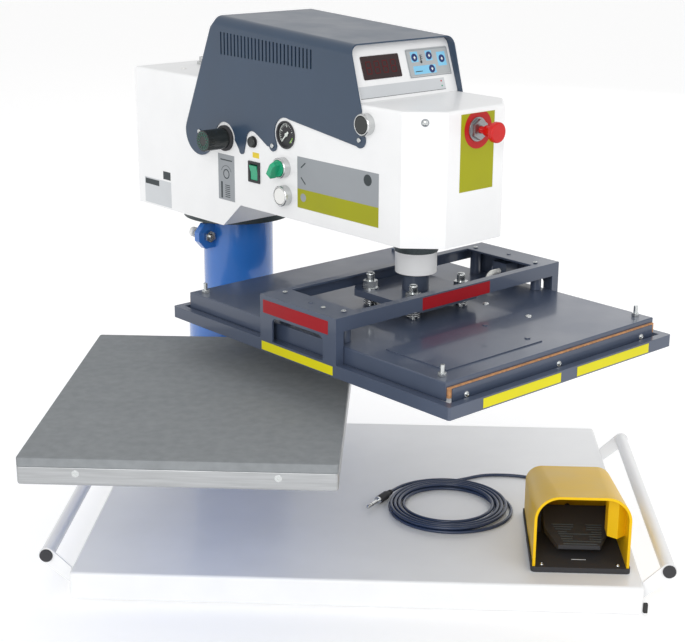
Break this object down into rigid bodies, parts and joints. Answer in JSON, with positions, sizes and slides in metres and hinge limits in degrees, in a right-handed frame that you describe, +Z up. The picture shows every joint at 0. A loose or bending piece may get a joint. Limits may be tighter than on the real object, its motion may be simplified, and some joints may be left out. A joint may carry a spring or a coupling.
{
  "type": "pneumatic heat press",
  "caption": "Swing-arm heat press with a flat padded lower table, an air-driven heated platen in a guard frame, a hooded control arm and a foot pedal on its cord.",
  "frame": {"origin": "on the arm's swing axis, in the plane that the rubber feet stand on", "axes": "+X runs along the base's long side to the right, -Y faces the operator, +Z is up; the arm is stored swung 44.5 degrees out from over the table"},
  "size_m": [0.893, 0.8341, 0.777],
  "materials": {
    "white_coat": "white powder coat, satin",
    "slate_coat": "slate blue-grey enamel, satin",
    "blue_coat": "strong blue enamel, glossy",
    "dark_steel": "blackened steel, satin",
    "bare_steel": "turned and ground steel",
    "zinc": "zinc plated fasteners",
    "spring_steel": "bright spring wire",
    "aluminium": "milled aluminium",
    "nickel": "nickel plated",
    "brass": "turned bronze bush",
    "pad_rubber": "grey silicone foam, fine grained",
    "black_rubber": "black rubber",
    "black_plastic": "black plastic, fine texture",
    "gloss_black": "black plastic, polished",
    "board_orange": "orange-brown insulating board",
    "white_plastic": "white plastic",
    "grey_panel": "light grey panel foil on sheet",
    "keypad_foil": "light blue keypad foil",
    "display_red": "dark red filter window",
    "green_clear": "translucent green",
    "red_plastic": "red, polished",
    "yellow_plastic": "yellow, polished",
    "needle_white": "white pointer",
    "cord_navy": "navy cord jacket",
    "lead_sleeve": "white braided glass sleeve",
    "board_green": "circuit board"
  },
  "bodies": {
    "base": {"base_tray": "white_coat", "rubber_feet": "black_rubber", "side_handles": "white_coat", "handle_caps": "black_plastic", "column_foot": "blue_coat", "column_tube": "blue_coat", "column_fasteners": "zinc", "column_bushes": "brass", "lower_table": "aluminium", "lower_pad": "pad_rubber", "pedal_base": "black_plastic", "pedal_cover": "yellow_plastic", "pedal_pin": "bare_steel", "pedal_spring": "spring_steel", "pedal_switch": "black_plastic", "pedal_gland": "black_rubber", "cord_coil": "cord_navy", "cord_lead": "cord_navy", "jack_plug": "black_plastic"},
    "treadle": {"pedal_treadle": "black_plastic"},
    "arm": {"swing_spindle": "dark_steel", "arm_beam": "dark_steel", "arm_housing": "white_coat", "hood": "slate_coat", "control_panel": "grey_panel", "display_window": "display_red", "keypad": "keypad_foil", "hood_screws": "zinc", "controller_board": "board_green", "air_valve": "aluminium", "air_fitting": "nickel", "air_cylinder": "aluminium", "guide_tube": "white_coat", "return_spring": "spring_steel", "regulator_body": "black_plastic", "gauge_case": "gloss_black", "rocker_frame": "black_plastic", "control_bezels": "nickel", "estop_base": "black_plastic"},
    "regulator": {"regulator_knob": "gloss_black"},
    "needle": {"gauge_needle": "needle_white"},
    "rocker": {"rocker_switch": "green_clear"},
    "selector": {"selector_knob": "green_clear"},
    "test_cap": {"test_button": "white_plastic"},
    "start_cap_near": {"start_button_near": "gloss_black"},
    "start_cap_far": {"start_button_far": "gloss_black"},
    "breaker_cap": {"breaker_button": "gloss_black"},
    "stop_cap": {"estop_knob": "red_plastic"},
    "ram": {"piston_rod": "bare_steel", "cross_plate": "slate_coat", "spring_bolts": "zinc", "bolt_springs": "spring_steel", "heater_cover": "slate_coat", "insulation_board": "board_orange", "platen": "aluminium", "heating_element": "bare_steel", "heater_studs": "zinc", "end_plates": "slate_coat", "heater_lead": "lead_sleeve"},
    "guard": {"safety_frame": "slate_coat"}
  },
  "joints": [
    {"name": "arm_swing", "type": "hinge", "parent": "base", "child": "arm", "pos_m": [0, 0, 0.5], "axis": [0, 0, 1], "range_deg": [-44.5, 75.5]},
    {"name": "ram_press", "type": "slide", "parent": "arm", "child": "ram", "axis": [0, 0, -1], "range_m": [0, 0.0557], "stiffness_N_per_m": 3000, "springref_m": -0.15, "deforming": ["return_spring"]},
    {"name": "guard_lift", "type": "slide", "parent": "ram", "child": "guard", "axis": [0, 0, 1], "range_m": [0, 0.008]},
    {"name": "regulator_turn", "type": "hinge", "parent": "arm", "child": "regulator", "pos_m": [0.00124, -0.14108, 0.5961], "axis": [0.7133, 0.7009, 0], "range_deg": [0, 1080]},
    {"name": "needle_turn", "type": "hinge", "parent": "arm", "child": "needle", "pos_m": [0.10175, -0.24336, 0.6194], "axis": [0.7133, 0.7009, 0], "range_deg": [0, 270]},
    {"name": "rocker_tilt", "type": "hinge", "parent": "arm", "child": "rocker", "pos_m": [0.05175, -0.1882, 0.5538], "axis": [0.7009, -0.7133, 0], "range_deg": [-18, 0]},
    {"name": "selector_turn", "type": "hinge", "parent": "arm", "child": "selector", "pos_m": [0.09818, -0.23973, 0.5713], "axis": [0.7133, 0.7009, 0], "range_deg": [0, 90]},
    {"name": "test_press", "type": "slide", "parent": "arm", "child": "test_cap", "axis": [0.7133, 0.7009, 0], "range_m": [0, 0.003], "stiffness_N_per_m": 500, "springref_m": -0.004},
    {"name": "start_near_press", "type": "slide", "parent": "arm", "child": "start_cap_near", "axis": [0.7133, 0.7009, 0], "range_m": [0, 0.003], "stiffness_N_per_m": 600, "springref_m": -0.004},
    {"name": "start_far_press", "type": "slide", "parent": "arm", "child": "start_cap_far", "axis": [-0.7133, -0.7009, 0], "range_m": [0, 0.003], "stiffness_N_per_m": 600, "springref_m": -0.004},
    {"name": "breaker_press", "type": "slide", "parent": "arm", "child": "breaker_cap", "axis": [0.7133, 0.7009, 0], "range_m": [0, 0.002], "stiffness_N_per_m": 500, "springref_m": -0.004},
    {"name": "stop_push", "type": "slide", "parent": "arm", "child": "stop_cap", "axis": [-0.7009, 0.7133, 0], "range_m": [0, 0.006]},
    {"name": "treadle_tread", "type": "hinge", "parent": "base", "child": "treadle", "pos_m": [0.53, -0.336, 0.0813], "axis": [1, 0, 0], "range_deg": [0, 7], "stiffness_Nm_per_rad": 6, "springref_deg": -8.59, "deforming": ["pedal_spring"]}
  ],
  "couplings": [
    {"joint": "needle_turn", "follows": "regulator_turn", "ratio": 0.25}
  ]
}
